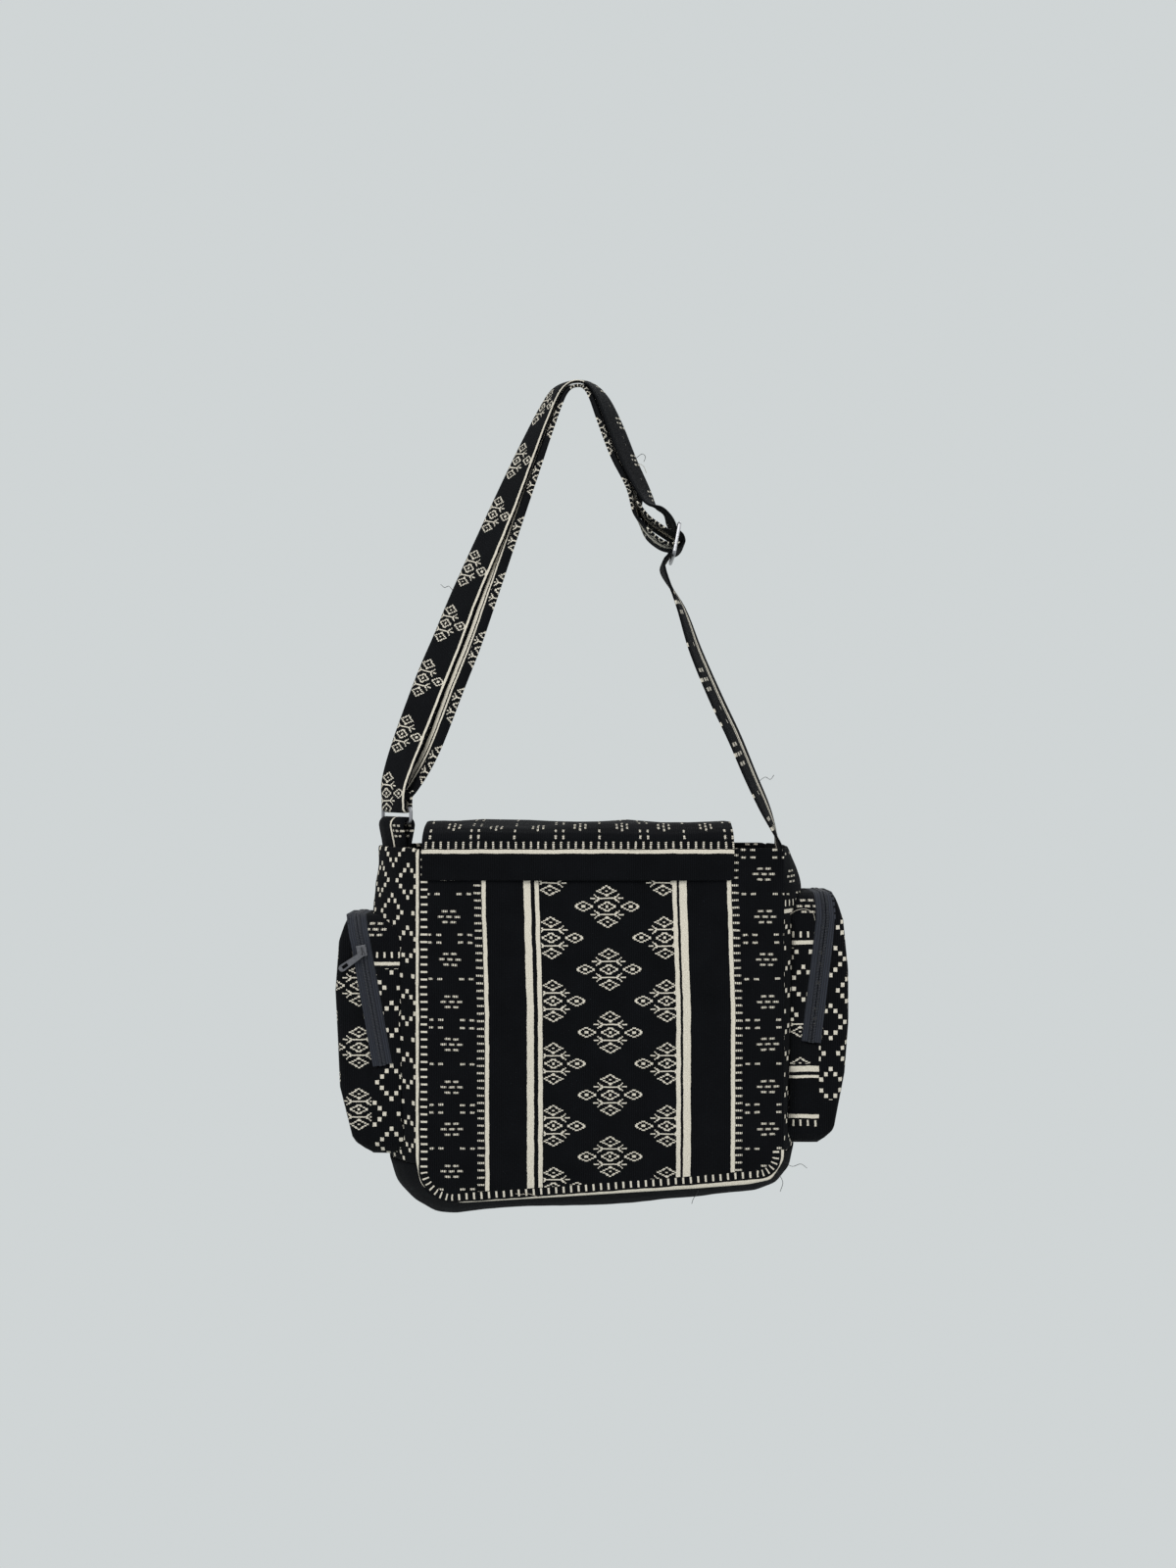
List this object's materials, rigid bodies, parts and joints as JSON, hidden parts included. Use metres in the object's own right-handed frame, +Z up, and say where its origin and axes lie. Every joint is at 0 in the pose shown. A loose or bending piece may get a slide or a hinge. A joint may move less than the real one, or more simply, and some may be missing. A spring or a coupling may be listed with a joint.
{
  "type": "woven flap shoulder bag",
  "caption": "Black and cream woven cotton shoulder bag with a fold-over flap, zipped side pockets and an adjustable cloth strap, hanging by its strap and seen from its back",
  "frame": {"origin": "underside of the strap's highest point, where it lies over the hook that holds the bag up", "axes": "+Z up; -Y faces the viewer of the picture and is the back of the bag, the flap's free side faces +Y; +X is the picture's right"},
  "size_m": [0.427, 0.1121, 0.7154],
  "materials": {
    "cloth": "black and cream woven cotton",
    "zip_tape": "charcoal woven tape",
    "zip_coil": "charcoal nylon coil",
    "zip_metal": "gunmetal plating",
    "strap_metal": "nickel plated wire"
  },
  "bodies": {
    "bag": {"back_panel": "cloth", "front_panel": "cloth", "left_gusset": "cloth", "bottom_gusset": "cloth", "right_gusset": "cloth", "flap": "cloth", "left_pocket": "cloth", "right_pocket": "cloth", "strap_running_layer": "cloth", "strap_return_layer": "cloth", "strap_tab": "cloth", "left_zip_tape_inner": "zip_tape", "left_zip_tape_outer": "zip_tape", "right_zip_tape_inner": "zip_tape", "right_zip_tape_outer": "zip_tape", "left_zip_coil_inner": "zip_coil", "left_zip_coil_outer": "zip_coil", "right_zip_coil_inner": "zip_coil", "right_zip_coil_outer": "zip_coil"},
    "left_slider": {"left_zip_slider": "zip_metal"},
    "left_pull": {"left_zip_pull": "zip_metal"},
    "right_slider": {"right_zip_slider": "zip_metal"},
    "right_pull": {"right_zip_pull": "zip_metal"},
    "ring": {"strap_ring": "strap_metal"},
    "buckle": {"strap_buckle": "strap_metal"}
  },
  "joints": [
    {"name": "left_zip_slide", "type": "slide", "parent": "bag", "child": "left_slider", "axis": [0.1772, 0, -0.9842], "range_m": [0, 0.088]},
    {"name": "left_pull_swing", "type": "hinge", "parent": "left_slider", "child": "left_pull", "pos_m": [-0.17649, -0.0401, -0.47238], "axis": [0, -1, 0], "range_deg": [-55, 165]},
    {"name": "right_zip_slide", "type": "slide", "parent": "bag", "child": "right_slider", "axis": [0.1191, 0, 0.9929], "range_m": [0, 0.088]},
    {"name": "right_pull_swing", "type": "hinge", "parent": "right_slider", "child": "right_pull", "pos_m": [0.19342, 0.0401, -0.54153], "axis": [0, 1, 0], "range_deg": [-110, 57]},
    {"name": "ring_rock", "type": "hinge", "parent": "bag", "child": "ring", "pos_m": [-0.152, -0.014, -0.3525], "axis": [0.6428, -0.766, 0], "range_deg": [-5, 5]},
    {"name": "buckle_rock", "type": "hinge", "parent": "bag", "child": "buckle", "pos_m": [0.0835, 0, -0.1273], "axis": [0, 1, 0], "range_deg": [-4, 4]}
  ]
}
